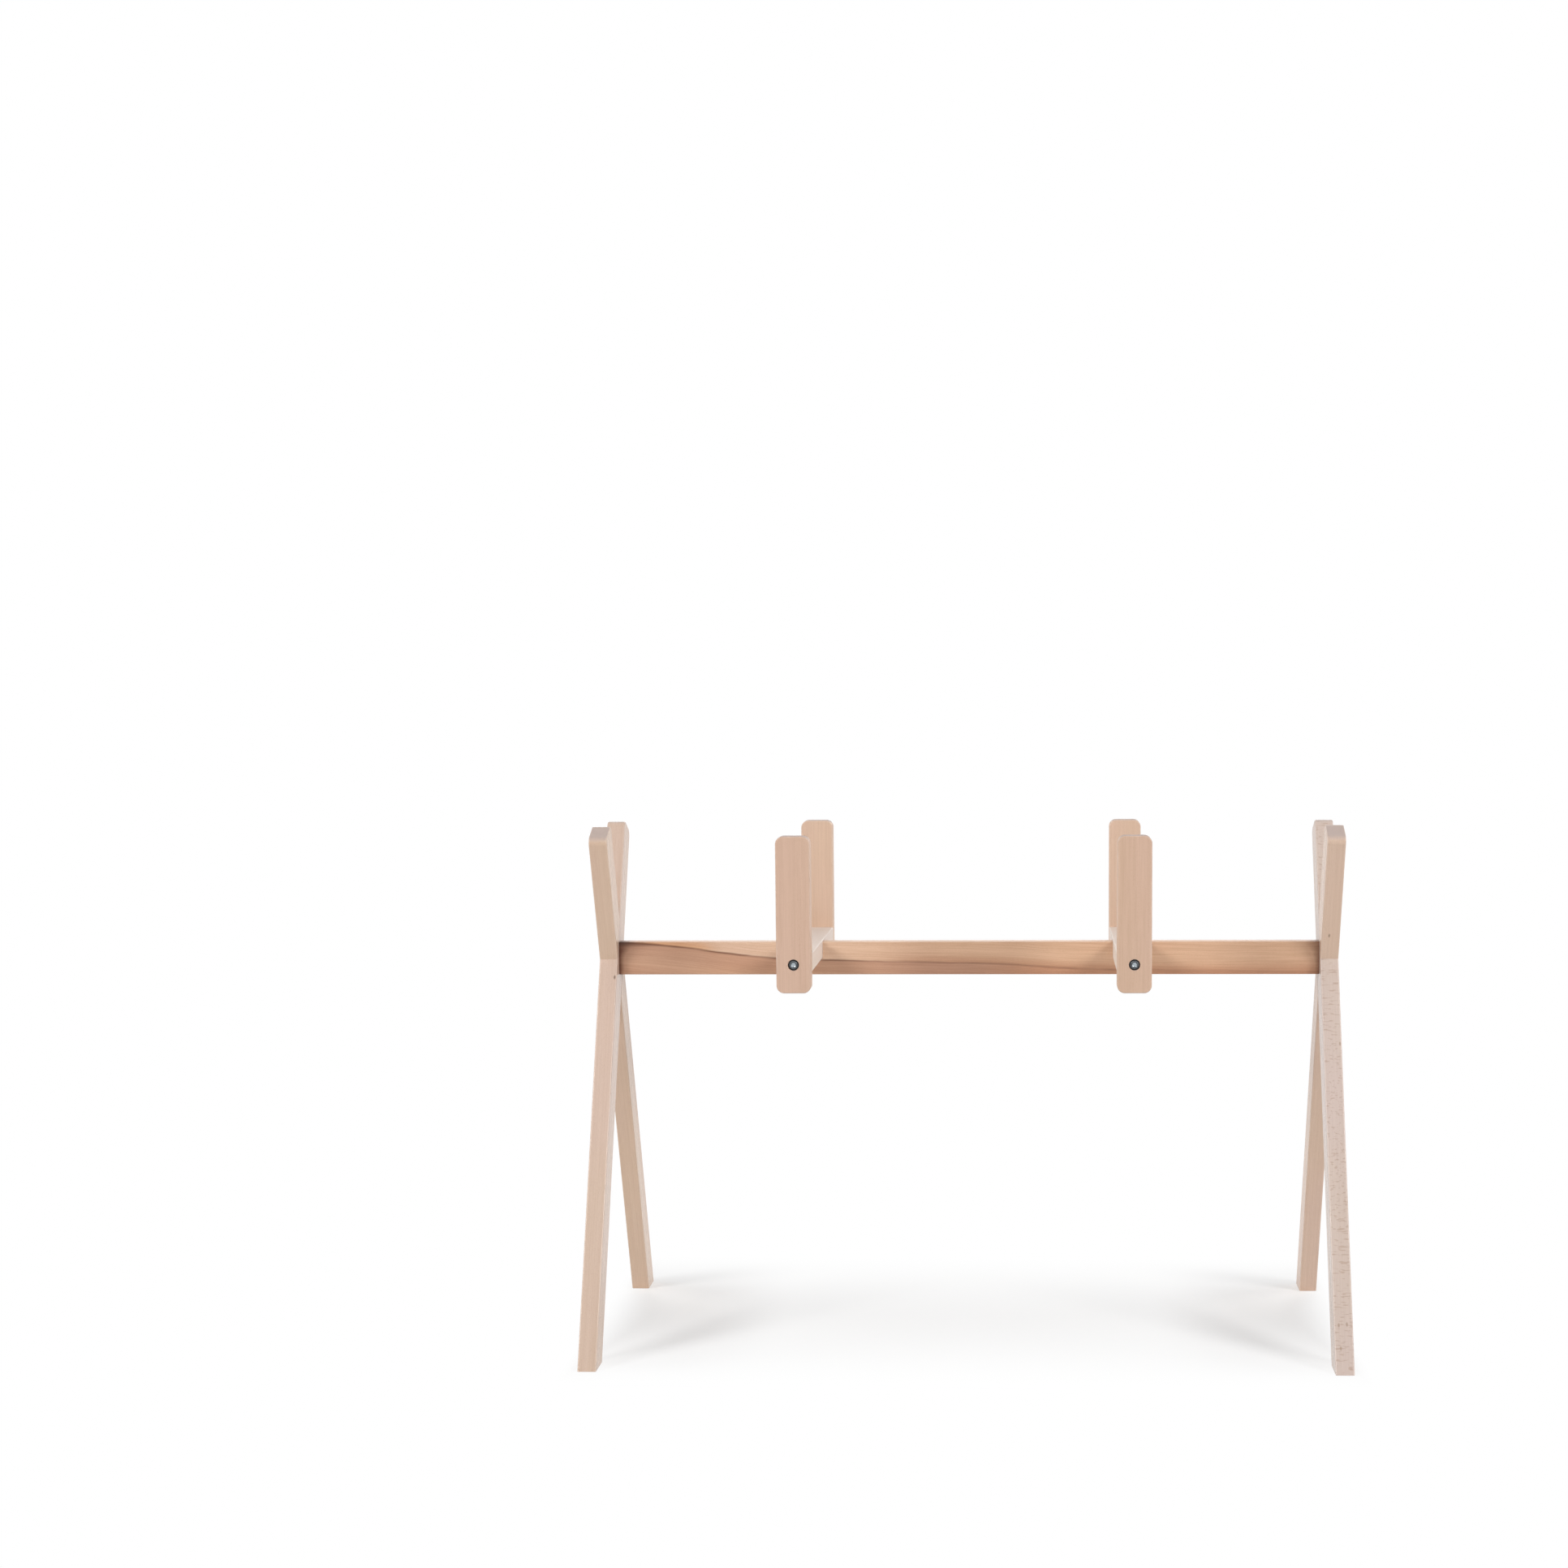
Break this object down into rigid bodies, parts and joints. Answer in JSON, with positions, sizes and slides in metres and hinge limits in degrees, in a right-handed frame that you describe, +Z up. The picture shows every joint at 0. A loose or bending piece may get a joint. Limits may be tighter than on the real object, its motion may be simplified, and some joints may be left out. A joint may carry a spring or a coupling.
{
  "type": "moses basket stand",
  "caption": "Wooden stand with crossed end frames, a beam between them, and arms with bolted uprights that carry a moses basket.",
  "frame": {"origin": "on the floor at the middle of the stand, below the beam's centre", "axes": "+X along the beam, to the right seen from the front; +Y from front to rear; +Z up"},
  "size_m": [0.898, 0.462, 0.6227],
  "materials": {
    "leg_wood": "pale beech, clear matt lacquer",
    "beam_wood": "darker beech with a brown heart streak, clear matt lacquer",
    "arm_wood": "pale beech, clear matt lacquer",
    "upright_wood": "beech, clear matt lacquer",
    "dark_steel": "dark plated steel",
    "zinc_steel": "zinc plated steel",
    "dowel_wood": "raw beech",
    "insert_brass": "bright brass"
  },
  "bodies": {
    "stand": {"left_front_leg": "leg_wood", "left_rear_leg": "leg_wood", "right_front_leg": "leg_wood", "right_rear_leg": "leg_wood", "beam": "beam_wood", "left_arm": "arm_wood", "right_arm": "arm_wood", "left_front_upright_bolt": "dark_steel", "left_rear_upright_bolt": "dark_steel", "right_front_upright_bolt": "dark_steel", "right_rear_upright_bolt": "dark_steel", "left_end_bolt": "dark_steel", "right_end_bolt": "dark_steel", "left_arm_bolt": "dark_steel", "right_arm_bolt": "dark_steel", "left_front_upright_washer": "dark_steel", "left_rear_upright_washer": "dark_steel", "right_front_upright_washer": "dark_steel", "right_rear_upright_washer": "dark_steel", "left_end_washer": "dark_steel", "right_end_washer": "dark_steel", "left_arm_washer": "dark_steel", "right_arm_washer": "dark_steel", "left_front_barrel_nut": "zinc_steel", "left_rear_barrel_nut": "zinc_steel", "right_front_barrel_nut": "zinc_steel", "right_rear_barrel_nut": "zinc_steel", "left_end_barrel_nut": "zinc_steel", "right_end_barrel_nut": "zinc_steel", "left_upper_dowel": "dowel_wood", "left_lower_dowel": "dowel_wood", "right_upper_dowel": "dowel_wood", "right_lower_dowel": "dowel_wood", "left_arm_insert": "insert_brass", "right_arm_insert": "insert_brass"},
    "left_front_post": {"left_front_upright": "upright_wood"},
    "left_rear_post": {"left_rear_upright": "upright_wood"},
    "right_front_post": {"right_front_upright": "upright_wood"},
    "right_rear_post": {"right_rear_upright": "upright_wood"}
  },
  "joints": [
    {"name": "left_front_turn", "type": "hinge", "parent": "stand", "child": "left_front_post", "pos_m": [-0.197, -0.17, 0.469], "axis": [0, 1, 0], "range_deg": [-90, 90]},
    {"name": "left_rear_turn", "type": "hinge", "parent": "stand", "child": "left_rear_post", "pos_m": [-0.197, 0.17, 0.469], "axis": [0, 1, 0], "range_deg": [-90, 90]},
    {"name": "right_front_turn", "type": "hinge", "parent": "stand", "child": "right_front_post", "pos_m": [0.197, -0.17, 0.469], "axis": [0, 1, 0], "range_deg": [-90, 90]},
    {"name": "right_rear_turn", "type": "hinge", "parent": "stand", "child": "right_rear_post", "pos_m": [0.197, 0.17, 0.469], "axis": [0, 1, 0], "range_deg": [-90, 90]}
  ]
}
